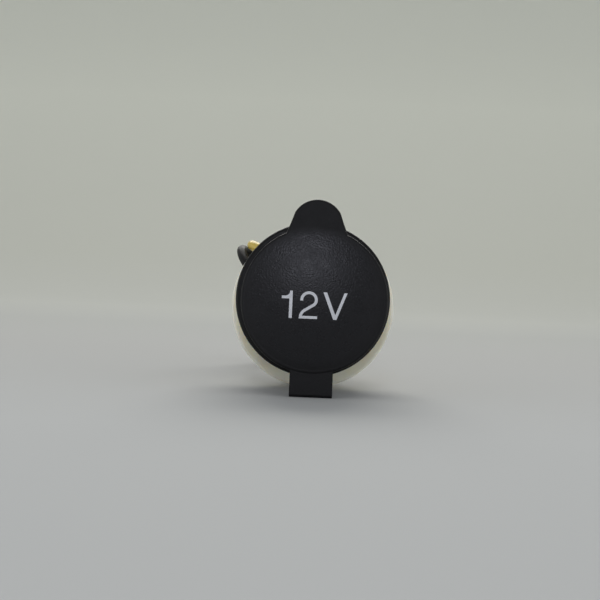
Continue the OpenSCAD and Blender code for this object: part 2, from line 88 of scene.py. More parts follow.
def linear(colour: str, alpha: float = 1.0) -> tuple[float, float, float, float]:
    """Turns an sRGB hex colour into the linear colour that a shader takes.

    Args:
        colour: The colour as "#rrggbb".
        alpha: The fourth value of the result.

    Returns:
        The linear red, green and blue, and alpha.
    """
    parts = [int(colour[i : i + 2], 16) / 255 for i in (1, 3, 5)]
    red, green, blue = (
        p / 12.92 if p <= 0.04045 else ((p + 0.055) / 1.055) ** 2.4 for p in parts
    )
    return (red, green, blue, alpha)


def add_node(
    tree: bpy.types.NodeTree,
    kind: str,
    settings: dict[str, object] | None = None,
    inputs: dict[str | int, object] | None = None,
) -> bpy.types.Node:
    """Adds a shader node, sets it up and links it.

    Args:
        tree: The node tree that gets the node.
        kind: The node's type, such as "ShaderNodeTexNoise".
        settings: Values of the node's own properties, by name.
        inputs: Values or output sockets for the node's inputs, by name or number.

    Returns:
        The new node.
    """
    node = tree.nodes.new(kind)
    for name, value in (settings or {}).items():
        setattr(node, name, value)
    for name, value in (inputs or {}).items():
        if isinstance(value, bpy.types.NodeSocket):
            tree.links.new(value, node.inputs[name])
        else:
            node.inputs[name].default_value = value
    return node


def map_range(
    tree: bpy.types.NodeTree,
    value: bpy.types.NodeSocket,
    source: tuple[float, float],
    target: tuple[float, float],
) -> bpy.types.NodeSocket:
    """Maps a range of values to another. Beyond its ends the result stays as it is there.

    Args:
        tree: The node tree that gets the node.
        value: The value to map.
        source: The two ends of the value's range.
        target: The results at those two ends.

    Returns:
        The mapped value.
    """
    ranged = add_node(
        tree,
        "ShaderNodeMapRange",
        {"clamp": True},
        {
            "Value": value,
            "From Min": source[0],
            "From Max": source[1],
            "To Min": target[0],
            "To Max": target[1],
        },
    )
    return ranged.outputs["Result"]


def calculate(
    tree: bpy.types.NodeTree,
    operation: str,
    first: bpy.types.NodeSocket,
    second: bpy.types.NodeSocket | float,
) -> bpy.types.NodeSocket:
    """Works out one value from two.

    Args:
        tree: The node tree that gets the node.
        operation: What is done with them, such as "ADD".
        first: The first value.
        second: The second value.

    Returns:
        The result.
    """
    result = add_node(tree, "ShaderNodeMath", {"operation": operation}, {0: first, 1: second})
    return result.outputs["Value"]


@dataclass(frozen=True)
class Finish:
    """A finish: what a surface is made of, and how its making left it.

    The base class gives a plain shader with a fine relief. Its patterns are measured in millimetres
    on the piece, through Object coordinates.
    """

    name: str
    colour: str
    roughness: float
    ior: float = 1.5
    metallic: float = 0.0
    specular: float = 0.5
    grain_mm: float = 0.5
    grain_depth_mm: float = 0.01
    mottle: float = 0.06
    mottle_mm: float = 6.0
    roughness_spread: float = 0.06
    roughness_mm: float = 2.5

    def coordinates(self, tree: bpy.types.NodeTree) -> bpy.types.NodeSocket:
        """Gives the piece's own coordinates, in metres."""
        return add_node(tree, "ShaderNodeTexCoord").outputs["Object"]

    def pattern(self, tree: bpy.types.NodeTree, size_mm: float) -> bpy.types.NodeSocket:
        """Adds a noise whose features have a real size.

        Args:
            tree: The material's node tree.
            size_mm: The size of the noise's features, in millimetres.

        Returns:
            The noise's value, from 0 to 1.
        """
        noise = add_node(
            tree,
            "ShaderNodeTexNoise",
            {"noise_dimensions": "3D"},
            {
                "Vector": self.coordinates(tree),
                "Scale": 1 / (size_mm * MM),
                "Detail": 2.0,
                "Roughness": 0.55,
            },
        )
        return noise.outputs["Fac"]

    def base_colour(self, tree: bpy.types.NodeTree) -> bpy.types.NodeSocket:
        """Makes the surface's colour a little uneven, as real pieces are.

        Args:
            tree: The material's node tree.

        Returns:
            The colour.
        """
        patches = self.pattern(tree, self.mottle_mm)
        brightness = map_range(tree, patches, NOISE_RANGE, (1 - self.mottle, 1 + self.mottle))
        tint = add_node(
            tree,
            "ShaderNodeHueSaturation",
            inputs={"Color": linear(self.colour), "Value": brightness},
        )
        return tint.outputs["Color"]

    def gloss(self, tree: bpy.types.NodeTree) -> bpy.types.NodeSocket:
        """Makes the surface's roughness a little uneven.

        Args:
            tree: The material's node tree.

        Returns:
            The roughness.
        """
        ends = (self.roughness - self.roughness_spread, self.roughness + self.roughness_spread)
        return map_range(tree, self.pattern(tree, self.roughness_mm), NOISE_RANGE, ends)

    def grain(self, tree: bpy.types.NodeTree) -> bpy.types.NodeSocket:
        """Gives the height of the surface's grain, from 0 to 1."""
        return self.pattern(tree, self.grain_mm)

    def dress_shader(self, shader: bpy.types.Node) -> None:
        """Sets what only this kind of finish has. The plain finish has nothing more."""

    def make(self) -> bpy.types.Material:
        """Makes the material, unless it was made before.

        Returns:
            The material.
        """
        made = bpy.data.materials.get(self.name)
        if made:
            return made
        material = bpy.data.materials.new(self.name)
        material.use_nodes = True
        material.diffuse_color = linear(self.colour)
        tree = material.node_tree
        shader = tree.nodes["Principled BSDF"]
        shader.inputs["Metallic"].default_value = self.metallic
        shader.inputs["IOR"].default_value = self.ior
        shader.inputs["Specular IOR Level"].default_value = self.specular
        relief = add_node(
            tree,
            "ShaderNodeBump",
            inputs={
                "Strength": 1.0,
                "Distance": self.grain_depth_mm * MM,
                "Height": self.grain(tree),
            },
        )
        tree.links.new(self.base_colour(tree), shader.inputs["Base Color"])
        tree.links.new(self.gloss(tree), shader.inputs["Roughness"])
        tree.links.new(relief.outputs["Normal"], shader.inputs["Normal"])
        self.dress_shader(shader)
        return material


@dataclass(frozen=True)
class Translucent(Finish):
    """A milky plastic that light enters and leaves."""

    depth_mm: float = 3.0
    depth_by_colour: tuple[float, float, float] = (1.0, 0.9, 0.75)

    def dress_shader(self, shader: bpy.types.Node) -> None:
        """Lets light scatter below the surface.

        Args:
            shader: The material's shader.
        """
        shader.inputs["Subsurface Weight"].default_value = 1.0
        shader.inputs["Subsurface Radius"].default_value = self.depth_by_colour
        shader.inputs["Subsurface Scale"].default_value = self.depth_mm * MM


@dataclass(frozen=True)
class DrawnMetal(Finish):
    """Sheet metal drawn over a punch, with faint lines that run along the socket's axis."""

    line_mm: float = 0.12
    line_stretch: float = 25.0

    def grain(self, tree: bpy.types.NodeTree) -> bpy.types.NodeSocket:
        """Draws the lines that the punch leaves: a noise that is long along Y and short across.

        Args:
            tree: The material's node tree.

        Returns:
            The lines' height, from 0 to 1.
        """
        stretched = add_node(
            tree,
            "ShaderNodeMapping",
            {"vector_type": "POINT"},
            {"Vector": self.coordinates(tree), "Scale": (1.0, 1 / self.line_stretch, 1.0)},
        )
        noise = add_node(
            tree,
            "ShaderNodeTexNoise",
            inputs={
                "Vector": stretched.outputs["Vector"],
                "Scale": 1 / (self.line_mm * MM),
                "Detail": 1.0,
            },
        )
        return noise.outputs["Fac"]


@dataclass(frozen=True)
class Elastomer(Finish):
    """A grained elastomer, smoother on the dome, where hands touch it, than on the flats. The dome
    is painted paler and the flats darker, as painted light and shade.

    The flats are the lid's rim, tab and strap, and the collar.
    """

    dome_mm: float = 15.6
    edge_mm: float = 2.4
    flat_roughness: float = 0.5
    # The flats' darker colour is painted shade, darker than the dome's.
    flat_shade_colour: str = "#0f0f11"

    def flats(self, tree: bpy.types.NodeTree) -> bpy.types.NodeSocket:
        """Tells the flats from the dome, by the distance from the socket's axis.

        Args:
            tree: The material's node tree.

        Returns:
            0 on the dome and 1 on the flats.
        """
        across = add_node(
            tree,
            "ShaderNodeVectorMath",
            {"operation": "MULTIPLY"},
            {0: self.coordinates(tree), 1: (1.0, 0.0, 1.0)},
        )
        reach = add_node(
            tree, "ShaderNodeVectorMath", {"operation": "LENGTH"}, {0: across.outputs["Vector"]}
        )
        inner = (self.dome_mm - self.edge_mm / 2) * MM
        outer = (self.dome_mm + self.edge_mm / 2) * MM
        return map_range(tree, reach.outputs["Value"], (inner, outer), (0.0, 1.0))

    def base_colour(self, tree: bpy.types.NodeTree) -> bpy.types.NodeSocket:
        """Gives the flats a darker colour than the dome: painted shade.

        Args:
            tree: The material's node tree.

        Returns:
            The colour.
        """
        mixed = add_node(
            tree,
            "ShaderNodeMixRGB",
            {"blend_type": "MIX"},
            {0: self.flats(tree), 1: super().base_colour(tree), 2: linear(self.flat_shade_colour)},
        )
        return mixed.outputs["Color"]

    def gloss(self, tree: bpy.types.NodeTree) -> bpy.types.NodeSocket:
        """Makes the flats rougher than the dome."""
        more = calculate(tree, "MULTIPLY", self.flats(tree), self.flat_roughness - self.roughness)
        return calculate(tree, "ADD", super().gloss(tree), more)


# The lid is black thermoplastic elastomer from a spark-eroded tool: a dark, slightly blue satin
# with a fine, even grain. The real grain is about 0.15 mm and is drawn at 0.38 mm, because a pixel
# of the picture is 0.23 mm.
LID_ELASTOMER = Elastomer(
    "grained black elastomer",
    "#1b1b1e",
    0.28,
    1.5,
    specular=0.24,
    grain_mm=0.38,
    grain_depth_mm=0.055,
    roughness_spread=0.03,
)
# The housing is glass-filled nylon from a smooth tool: black, with a faint, shallow flow.
HOUSING_NYLON = Finish(
    "smooth black glass-filled nylon",
    "#0e0e0f",
    0.42,
    1.53,
    specular=0.2,
    grain_mm=0.8,
    grain_depth_mm=0.006,
)
# Undyed nylon 66 is cream and milky, and glows a little where it is thin.
NATURAL_NYLON = Translucent(
    "natural nylon 66", "#f5f0e0", 0.38, 1.53, grain_mm=1.0, grain_depth_mm=0.008
)
# Nickel-plated steel, deep drawn: bright, with soft lines along its length.
PLATED_STEEL = DrawnMetal(
    "drawn nickel-plated steel", "#c3c1bb", 0.24, 1.5, 1.0, grain_depth_mm=0.002, mottle=0.04
)
# Stamped brass, bright and a little uneven in gloss.
STAMPED_BRASS = Finish(
    "stamped brass", "#d0ab5c", 0.27, 1.5, 1.0, grain_mm=0.4, grain_depth_mm=0.003
)
# Vulcanised fibre board: red brown, dull, with a felted fleck.
FIBRE_BOARD = Finish(
    "vulcanised fibre board", "#6e3627", 0.62, 1.5, grain_mm=0.5, grain_depth_mm=0.02, mottle=0.14
)
# Urea moulding of the contact's cup: off white and hard.
CUP_UREA = Finish(
    "off-white urea moulding", "#dfdbd0", 0.34, 1.55, grain_mm=0.8, grain_depth_mm=0.005
)
# Extruded PVC insulation: smooth, the yellow one with a soft shine and the black one duller.
YELLOW_PVC = Finish(
    "extruded yellow PVC", "#dcc057", 0.36, 1.53, grain_mm=1.2, grain_depth_mm=0.006
)
BLACK_PVC = Finish(
    "extruded black PVC", "#0c0c0d", 0.55, 1.53, specular=0.2, grain_mm=1.2, grain_depth_mm=0.006
)
# Silicone rubber of the wire seals: dull orange.
ORANGE_SILICONE = Finish(
    "orange silicone rubber", "#c25a26", 0.55, 1.43, grain_mm=0.6, grain_depth_mm=0.006
)
# Screen ink of the rating on the lid: flat light grey.
SCREEN_INK = Finish(
    "light grey screen ink", "#dcdee4", 0.55, 1.5, specular=0.3, grain_mm=0.5, grain_depth_mm=0.01
)


def dress(obj: bpy.types.Object, finish: Finish) -> None:
    """Gives a piece one finish all over, and reports it.

    Args:
        obj: The piece.
        finish: What it is made of.
    """
    obj.data.materials.clear()
    obj.data.materials.append(finish.make())
    log.info("%s: %s", obj.name, finish.name)


def new_piece(name: str, shape: bmesh.types.BMesh, finish: Finish) -> bpy.types.Object:
    """Turns a bmesh into a piece of the object.

    Args:
        name: The piece's name.
        shape: The shape, in the model's frame. It is freed.
        finish: What the piece is made of.

    Returns:
        The new object, at the origin.
    """
    mesh = bpy.data.meshes.new(name)
    shape.to_mesh(mesh)
    shape.free()
    obj = bpy.data.objects.new(name, mesh)
    bpy.context.scene.collection.objects.link(obj)
    dress(obj, finish)
    return obj


def smooth(points: list[Vector], per_span: int) -> list[Vector]:
    """Runs a smooth line through points, as a Catmull-Rom spline does.

    Args:
        points: The points to pass through.
        per_span: How many steps each span gets.

    Returns:
        The points of the finer line.
    """
    padded = [2 * points[0] - points[1], *points, 2 * points[-1] - points[-2]]
    line = []
    for i in range(1, len(padded) - 2):
        before, start, end, after = padded[i - 1 : i + 3]
        for step in range(per_span):
            t = step / per_span
            line.append(
                0.5
                * (
                    2 * start
                    + (end - before) * t
                    + (2 * before - 5 * start + 4 * end - after) * t**2
                    + (3 * start - before - 3 * end + after) * t**3
                )
            )
    return [*line, points[-1]]


@dataclass
class View:
    """The photograph's camera, and the sheet, the lamps and the room round the object.

    The sheet's tones go by its height, from the first to the second of painted_light_heights; they
    are painted light and shade: darker in a band just above the floor, lighter and warmer up the
    curve. The room's
    light goes by direction: dimmer behind the camera, brighter at the horizon and dimmer overhead.
    """

    distance: float = 0.330
    below: float = 0.028
    bezel_y: float = -0.0033
    sensor_mm: float = 36.0
    field_deg: float = 23.66
    roll_deg: float = 2.5
    aim: tuple[float, float, float] = (-0.00297, -0.0033, -0.00037)
    fold: tuple[float, float] = (-0.0036, -0.0227)
    nut_back: tuple[float, float] = (0.0202, -0.0199)
    sheet_near: float = -0.9
    sheet_flat: float = 0.45
    sheet_rise: float = 0.3
    sheet_reach: float = 1.2
    sheet_steps: int = 12
    painted_light_heights: tuple[float, float] = (-0.03, 0.2)
    # Painted light and shade: the sheet is darker in a band just above the floor, and lighter and
    # warmer up its curve.
    sheet_painted_light_tones: tuple[tuple[float, str], ...] = (
        (0.0, "#c8cac9"),
        (0.1, "#bebfbd"),
        (0.18, "#b7b9b6"),
        (0.44, "#c3c5bd"),
        (1.0, "#dfe1d6"),
    )
    room_colour: str = "#e6e8ea"
    behind_camera: tuple[float, float] = (-0.96, -0.74)
    behind_strength: tuple[float, float] = (0.2, 1.0)
    horizon_to_top: tuple[float, float] = (0.05, 0.5)
    horizon_strength: tuple[float, float] = (1.8, 0.4)

    @property
    def slope(self) -> float:
        """How the sheet rises behind the socket, which lies on its strap and its nut."""
        return (self.nut_back[1] - self.fold[1]) / (self.nut_back[0] - self.fold[0])

    def camera(self) -> None:
        """Puts the camera where the photograph was taken: straight ahead, just below the axis."""
        camera = bpy.data.objects.new("camera", bpy.data.cameras.new("camera"))
        bpy.context.scene.collection.objects.link(camera)
        camera.data.sensor_width = self.sensor_mm
        camera.data.lens = self.sensor_mm / 2 / math.tan(math.radians(self.field_deg / 2))
        camera.data.clip_start = 0.01
        place = Vector((0.0, self.bezel_y - self.distance, -self.below))
        ahead = Vector(self.aim) - place
        turn = ahead.to_track_quat("-Z", "Y") @ Matrix.Rotation(
            math.radians(self.roll_deg), 3, "Z"
        ).to_quaternion()
        camera.matrix_world = Matrix.Translation(place) @ turn.to_matrix().to_4x4()
        bpy.context.scene.camera = camera

    def sheet(self) -> None:
        """Makes the pale sheet: flat under the socket, and curved up behind it."""
        profile = [(self.sheet_near, 0.0), (self.sheet_flat, 0.0)]
        for step in range(1, self.sheet_steps + 1):
            angle = math.radians(90 * step / self.sheet_steps)
            back = self.sheet_flat + self.sheet_rise * math.sin(angle)
            profile.append((back, self.sheet_rise * (1 - math.cos(angle))))
        shape = bmesh.new()
        line = [shape.verts.new((-self.sheet_reach, y, z)) for y, z in profile]
        edges = [shape.edges.new(pair) for pair in zip(line, line[1:])]
        swept = bmesh.ops.extrude_edge_only(shape, edges=edges)
        moved = [v for v in swept["geom"] if isinstance(v, bmesh.types.BMVert)]
        bmesh.ops.translate(shape, verts=moved, vec=(2 * self.sheet_reach, 0, 0))
        tilt = Matrix.Translation((0, *self.fold)) @ Matrix.Rotation(
            math.atan(self.slope), 4, "X"
        )
        bmesh.ops.transform(shape, matrix=tilt, verts=shape.verts)
        shape.normal_update()
        upside_down = [f for f in shape.faces if f.normal.z < f.normal.y]
        bmesh.ops.reverse_faces(shape, faces=upside_down)
        mesh = bpy.data.meshes.new("sheet")
        shape.to_mesh(mesh)
        shape.free()
        mesh.shade_smooth()
        mesh.materials.append(self.sheet_finish())
        sheet = bpy.data.objects.new("sheet", mesh)
        bpy.context.scene.collection.objects.link(sheet)

    def sheet_finish(self) -> bpy.types.Material:
        """Makes the sheet a matt pale grey with painted light and shade by height: darker in a low
        band, lighter and a little warmer where it curves up.

        It can be seen through from below, where it would hide the open lid.

        Returns:
            The material.
        """
        material = bpy.data.materials.new("matt pale sheet")
        material.use_nodes = True
        tree = material.node_tree
        shader = tree.nodes["Principled BSDF"]
        place = add_node(tree, "ShaderNodeTexCoord").outputs["Object"]
        height = add_node(tree, "ShaderNodeSeparateXYZ", inputs={"Vector": place}).outputs["Z"]
        # The sheet's colour changes with height as painted light and shade.
        share = map_range(tree, height, self.painted_light_heights, (0.0, 1.0))
        painted_light_ramp = add_node(tree, "ShaderNodeValToRGB", inputs={"Fac": share})
        ramp = painted_light_ramp.color_ramp.elements
        for at, _ in self.sheet_painted_light_tones[1:-1]:
            ramp.new(at)
        for element, (_, colour) in zip(ramp, self.sheet_painted_light_tones):
            element.color = linear(colour)
        tree.links.new(painted_light_ramp.outputs["Color"], shader.inputs["Base Color"])
        shader.inputs["Roughness"].default_value = 0.9
        shader.inputs["Specular IOR Level"].default_value = 0.1
        sides = add_node(
            tree,
            "ShaderNodeMixShader",
            inputs={
                0: add_node(tree, "ShaderNodeNewGeometry").outputs["Backfacing"],
                1: shader.outputs["BSDF"],
                2: add_node(tree, "ShaderNodeBsdfTransparent").outputs["BSDF"],
            },
        )
        tree.links.new(sides.outputs["Shader"], tree.nodes["Material Output"].inputs["Surface"])
        return material

    def lamp(
        self,
        name: str,
        place: tuple[float, float, float],
        size: tuple[float, float],
        watts: float,
        colour: str,
    ) -> None:
        """Adds one soft lamp that points at the origin.

        Args:
            name: The lamp's name.
            place: Where it stands.
            size: Its width and height.
            watts: Its power.
            colour: Its colour, as sRGB hex.
        """
        light = bpy.data.lights.new(name, "AREA")
        light.shape = "RECTANGLE"
        light.size, light.size_y = size
        light.energy = watts
        light.color = linear(colour)[:3]
        lamp = bpy.data.objects.new(name, light)
        bpy.context.scene.collection.objects.link(lamp)
        turn = (-Vector(place)).to_track_quat("-Z", "Y").to_matrix().to_4x4()
        lamp.matrix_world = Matrix.Translation(place) @ turn

    def room(self) -> None:
        """Makes the soft room that the object stands in."""
        world = bpy.data.worlds.new("soft room")
        world.use_nodes = True
        tree = world.node_tree
        sky = tree.nodes["Background"]
        sky.inputs["Color"].default_value = linear(self.room_colour)
        way = add_node(
            tree,
            "ShaderNodeSeparateXYZ",
            inputs={"Vector": add_node(tree, "ShaderNodeTexCoord").outputs["Generated"]},
        )
        strength = calculate(
            tree,
            "MULTIPLY",
            map_range(tree, way.outputs["Y"], self.behind_camera, self.behind_strength),
            map_range(tree, way.outputs["Z"], self.horizon_to_top, self.horizon_strength),
        )
        tree.links.new(strength, sky.inputs["Strength"])
        bpy.context.scene.world = world

    def light(self) -> None:
        """Lights the sheet softly from behind, and the lid with a small lamp over the camera."""
        self.room()
        self.lamp("ceiling", (0.0, 0.9, 0.78), size=(1.0, 0.8), watts=11.3, colour="#fffdf8")
        self.lamp(
            "over camera", (-0.03, -0.77, 0.242), size=(0.1, 0.08), watts=0.68, colour="#eef0ff"
        )
        bpy.context.scene.view_settings.view_transform = "Standard"

    def make(self) -> None:
        """Builds the camera, the sheet and the lamps."""
        self.camera()
        self.sheet()
        self.light()
        log.info("camera, sheet and lamps")


@dataclass
class Leads:
    """The two fly leads, from the boots to the plug.

    Their routes are those of the solids, in millimetres.
    """

    diameter: float = 2.8 * MM
    per_span: int = 5
    yellow: tuple[tuple[float, float, float], ...] = (
        (6.5, 57, 0), (6.5, 59.6, 0), (6.1, 62.6, 1.1), (4.5, 65.4, 3.7), (1.9, 67.7, 6.9),
        (-1.6, 69.6, 10.1), (-5.5, 71.2, 13.2), (-9.5, 72.7, 16.1), (-13.2, 74.5, 18.7),
        (-16.1, 76.8, 20.7), (-18, 79.9, 21.9), (-18.4, 83.2, 22.3), (-17.3, 86.3, 21.9),
        (-15, 88.8, 21.2), (-12.2, 90.7, 20.3), (-9.4, 91.9, 18.7), (-7.3, 92.4, 16.5),
        (-6.3, 92.5, 14.2), (-6, 92.5, 12), (-6, 92.5, 10.7),
    )
    black: tuple[tuple[float, float, float], ...] = (
        (-6.5, 57, 0), (-6.5, 59.6, 0), (-6.9, 62.5, 0.9), (-8.4, 65.3, 2.9), (-10.8, 67.9, 5.6),
        (-13.5, 70.2, 8.7), (-16.2, 72.5, 11.9), (-18.6, 75.1, 15), (-20.4, 78.2, 17.8),
        (-21.3, 81.7, 20.1), (-21.3, 85.4, 21.2), (-20.4, 88.6, 21.1), (-18.7, 90.9, 20.3),
        (-16.8, 92.2, 19.3), (-14.7, 92.8, 18), (-12.8, 92.8, 16.7), (-11.1, 92.6, 15.2),
        (-10.2, 92.5, 13.3), (-10, 92.5, 11.9), (-10, 92.5, 10.7),
    )

    def lead(
        self,
        name: str,
        route: tuple[tuple[float, float, float], ...],
        node: str,
        finish: Finish,
    ) -> None:
        """Makes one lead as a round curve.

        Args:
            name: The piece's name.
            route: The points of its centreline, in millimetres.
            node: The CAD node that it stands for.
            finish: Its insulation.
        """
        line = smooth([Vector(p) * MM for p in route], self.per_span)
        curve = bpy.data.curves.new(name, "CURVE")
        curve.dimensions = "3D"
        curve.bevel_depth = self.diameter / 2
        curve.bevel_resolution = 5
        curve.use_fill_caps = True
        spline = curve.splines.new("POLY")
        spline.points.add(len(line) - 1)
        for point, place in zip(spline.points, line):
            point.co = (*place, 1.0)
        spline.use_smooth = True
        obj = bpy.data.objects.new(name, curve)
        bpy.context.scene.collection.objects.link(obj)
        dress(obj, finish)
        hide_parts(node)
        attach(obj, Body.SOCKET.value)

    def make(self, nodes: dict[str, bpy.types.Object]) -> None:
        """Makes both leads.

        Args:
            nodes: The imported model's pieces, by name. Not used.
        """
        self.lead("yellow_lead", self.yellow, "lead_yellow", YELLOW_PVC)
        self.lead("black_lead", self.black, "lead_black", BLACK_PVC)


@dataclass
class Lid:
    """The flip lid: the rating printed on it, and the living hinge under its strap.

    The letters' own sizes are in millimetres.
    """

    right: float = 0.35 * MM
    low: float = 0.45 * MM
    crown_y: float = -6.6 * MM
    dome_radius: float = 100.35 * MM
    cap_height: float = 6.3
    stroke: float = 0.66
    gaps: tuple[float, float] = (1.6, 1.22)
    arc_step_deg: float = 6.0
    centre_x: float = 0.03 * MM
    centre_z: float = -1.25 * MM
    facet: float = 1.7 * MM
    facets: int = 5
    ink: float = 0.03 * MM
    strap_w: float = 9.9 * MM
    hinge_y: float = -3.6 * MM
    hinge_z: float = -22.7 * MM
    film: float = 0.35 * MM
    film_reach: float = 0.45 * MM
    film_cuts: int = 11

    @property
    def middle(self) -> Vector:
        """Where the middle of the lettering stands, seen from the front."""
        return Vector((self.right + self.centre_x, 0, self.centre_z - self.low))

    def outline(self, points: list[tuple[float, float]]) -> bmesh.types.BMesh:
        """Starts a letter as one flat face.

        Args:
            points: The corners, in millimetres right of the letter's left edge and above its foot.

        Returns:
            The face, in the plane across the socket's axis.
        """
        shape = bmesh.new()
        shape.faces.new([shape.verts.new((x * MM, 0, z * MM)) for x, z in points])
        return shape

    def draw(
        self, shape: bmesh.types.BMesh, pen: list[bmesh.types.BMEdge], way: tuple[float, float]
    ) -> list[bmesh.types.BMEdge]:
        """Draws a straight stroke.

        Args:
            shape: The letter.
            pen: The edge that is drawn along.
            way: How far it goes right and up, in millimetres.

        Returns:
            The edge where the stroke ends.
        """
        grown = bmesh.ops.extrude_edge_only(shape, edges=pen)["geom"]
        bmesh.ops.translate(
            shape,
            verts=[g for g in grown if isinstance(g, bmesh.types.BMVert)],
            vec=(way[0] * MM, 0, way[1] * MM),
        )
        return [g for g in grown if isinstance(g, bmesh.types.BMEdge)]

    def turn(
        self,
        shape: bmesh.types.BMesh,
        pen: list[bmesh.types.BMEdge],
        centre: tuple[float, float],
        degrees: float,
    ) -> list[bmesh.types.BMEdge]:
        """Draws a round stroke.

        Args:
            shape: The letter.
            pen: The edge that is drawn along.
            centre: The point that it turns about, in millimetres.
            degrees: How far it turns, clockwise as one reads the letter.

        Returns:
            The edge where the stroke ends.
        """
        swept = bmesh.ops.spin(
            shape,
            geom=pen,
            cent=(centre[0] * MM, 0, centre[1] * MM),
            axis=(0, 1, 0),
            angle=math.radians(degrees),
            steps=math.ceil(abs(degrees) / self.arc_step_deg),
            use_duplicate=False,
        )["geom_last"]
        return [g for g in swept if isinstance(g, bmesh.types.BMEdge)]

    def figure_one(self) -> bmesh.types.BMesh:
        """Makes the figure 1: a stem, and a flag with a flat lower edge and a hollow upper one.

        Returns:
            The figure, flat.
        """
        top, right, stem = self.cap_height, 2.47, 0.72
        flag_top, flag_foot = top - 1.19, top - 1.82
        tip, hollow_r = right - 0.6, 1.1
        shape = self.outline(
            [
                (right - stem, 0),
                (right, 0),
                (right, top),
                (tip, top),
                (tip, flag_top),
                (0, flag_top),
                (0, flag_foot),
                (right - stem, flag_foot),
            ]
        )
        corner = Vector((tip, 0, flag_top)) * MM
        bmesh.ops.bevel(
            shape,
            geom=[v for v in shape.verts if (v.co - corner).length < MERGE],
            offset=hollow_r * MM,
            offset_type="OFFSET",
            segments=8,
            profile=0.5,
            affect="VERTICES",
            material=-1,
        )
        return shape

    def figure_two(self) -> bmesh.types.BMesh:
        """Makes the figure 2: a pen's edge swept round the bowl and down the diagonal, and a foot.

        Returns:
            The figure, flat.
        """
        left, reach, tip = 0.19, 2.0, 0.19
        middle = self.cap_height - reach
        bar, width = 0.62, 4.2
        side, side_deg = 1.38, 58
        heel_x, sweep_r, sweep_deg = 0.94, 2.0, 53
        right = left + 2 * reach - self.stroke / 2
        lean = math.radians(90 - side_deg)
        shape = bmesh.new()
        ends = [
            shape.verts.new((x * MM, 0, (middle - tip) * MM)) for x in (left, left + self.stroke)
        ]
        pen = [shape.edges.new(ends)]
        pen = self.draw(shape, pen, (0, tip))
        pen = self.turn(shape, pen, (left + reach, middle), 180)
        pen = self.turn(shape, pen, (right - side, middle), side_deg)
        knee = Vector((right - side + side * math.sin(lean), middle - side * math.cos(lean)))
        run = (knee.x - self.stroke / 2 - heel_x) / math.cos(lean)
        pen = self.draw(shape, pen, (-run * math.cos(lean), -run * math.sin(lean)))
        heel = knee - Vector((math.cos(lean), math.sin(lean))) * run
        hub = heel + Vector((math.sin(lean), -math.cos(lean))) * sweep_r
        self.turn(shape, pen, (hub.x, hub.y), -sweep_deg)
        bmesh.ops.bisect_plane(
            shape,
            geom=[*shape.verts, *shape.edges, *shape.faces],
            plane_co=(0, 0, bar * MM),
            plane_no=(0, 0, 1),
            clear_inner=True,
        )
        cut = sorted(v.co.x / MM for v in shape.verts if abs(v.co.z - bar * MM) < MERGE)
        foot = ((0, 0), (width, 0), (width, bar), (cut[1], bar), (cut[0], bar))
        shape.faces.new([shape.verts.new((x * MM, 0, z * MM)) for x, z in foot])
        bmesh.ops.remove_doubles(shape, verts=shape.verts, dist=MERGE)
        return shape

    def letter_v(self) -> bmesh.types.BMesh:
        """Makes the letter V: a thick and a thin arm that meet in a flat foot.

        Returns:
            The letter, flat.
        """
        top, width, arm, thin, foot, shift = self.cap_height - 0.1, 5.53, 0.84, 0.7, 0.74, 0.08
        left = (width - foot) / 2 + shift
        gap = width - arm - thin
        fall = left / top, (width - foot - left) / top
        crotch = top - gap / (fall[0] + fall[1])
        return self.outline(
            [
                (left, 0),
                (left + foot, 0),
                (width, top),
                (width - thin, top),
                (arm + (top - crotch) * fall[0], crotch),
                (arm, top),
                (0, top),
            ]
        )

    def word(self) -> bmesh.types.BMesh:
        """Sets the letters in a row and puts its middle where it stands on the lid.

        Returns:
            The row, flat.
        """
        shape = bmesh.new()
        along = 0.0
        letters = (self.figure_one(), self.figure_two(), self.letter_v())
        for letter, gap in zip(letters, (*self.gaps, 0.0)):
            width = max(v.co.x for v in letter.verts) / MM
            bmesh.ops.translate(letter, verts=letter.verts, vec=(along * MM, 0, 0))
            along += width + gap
            flat = bpy.data.meshes.new("letter")
            letter.to_mesh(flat)
            letter.free()
            shape.from_mesh(flat)
            bpy.data.meshes.remove(flat)
        row_middle = Vector((along / 2, 0, self.cap_height / 2)) * MM
        bmesh.ops.translate(shape, verts=shape.verts, vec=self.middle - row_middle)
        return shape

    def lay_on_dome(self, shape: bmesh.types.BMesh) -> None:
        """Cuts the flat letters into facets and lays them on the dome.

        Args:
            shape: The letters. They are changed.
        """
        for step in range(-self.facets, self.facets + 1):
            for way in (Vector((1, 0, 0)), Vector((0, 0, 1))):
                bmesh.ops.bisect_plane(
                    shape,
                    geom=[*shape.verts, *shape.edges, *shape.faces],
                    plane_co=self.middle + step * self.facet * way,
                    plane_no=way,
                )
        for vert in shape.verts:
            across = (vert.co.x - self.right) ** 2 + (vert.co.z + self.low) ** 2
            sag = self.dome_radius - math.sqrt(self.dome_radius**2 - across)
            vert.co.y = self.crown_y + sag - self.ink

    def rating_print(self) -> None:
        """Prints the rating on the dome, with the thickness of ink."""
        shape = self.word()
        self.lay_on_dome(shape)
        grown = bmesh.ops.extrude_face_region(
            shape, geom=list(shape.faces), use_keep_orig=True
        )["geom"]
        back = [g for g in grown if isinstance(g, bmesh.types.BMVert)]
        bmesh.ops.translate(shape, verts=back, vec=(0, 2 * self.ink, 0))
        bmesh.ops.triangulate(shape, faces=shape.faces)
        bmesh.ops.recalc_face_normals(shape, faces=shape.faces)
        obj = new_piece("rating_12v", shape, SCREEN_INK)
        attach(obj, Body.LID.value)

